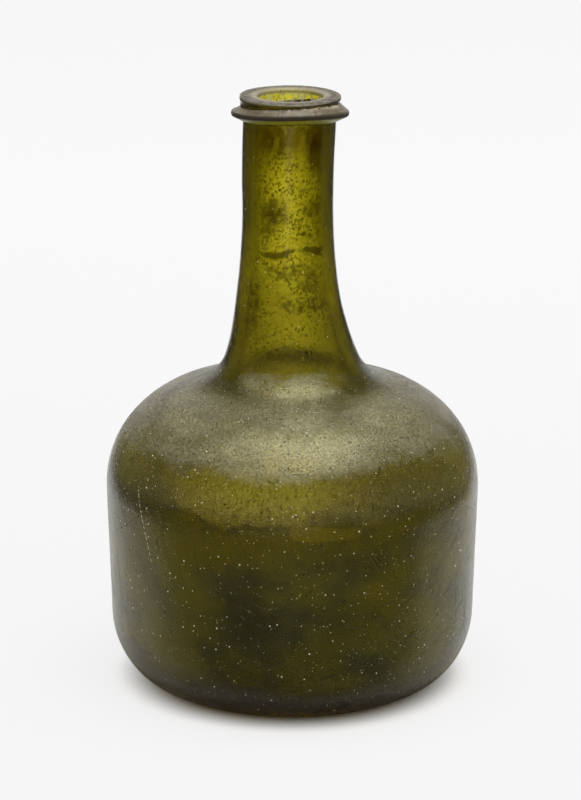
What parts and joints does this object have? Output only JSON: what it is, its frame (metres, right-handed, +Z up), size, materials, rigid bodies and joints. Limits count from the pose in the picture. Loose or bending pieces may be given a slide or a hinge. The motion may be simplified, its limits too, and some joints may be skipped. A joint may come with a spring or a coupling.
{
  "type": "mallet wine bottle",
  "caption": "Free-blown glass wine bottle of mallet form: broad upright body, rounded shoulder, tall slim neck, flat lip, wound string rim and a pushed-up base.",
  "frame": {"origin": "middle of the foot ring, on the plane that the bottle stands on", "axes": "+Z up along the bottle's axis, -Y towards the front as pictured, +X to the right"},
  "size_m": [0.1316, 0.1316, 0.21],
  "materials": {
    "dark_green_glass": "dark olive-green blown glass, dulled by weathering, with seeds and fine scratches",
    "weathered_rim_glass": "the same green glass under a grey-brown weathered skin, worn pale at its edges",
    "rough_scar_glass": "broken, rough green glass"
  },
  "bodies": {
    "root": {"vessel": "dark_green_glass", "string_rim": "weathered_rim_glass", "pontil_scar": "rough_scar_glass"}
  },
  "joints": []
}
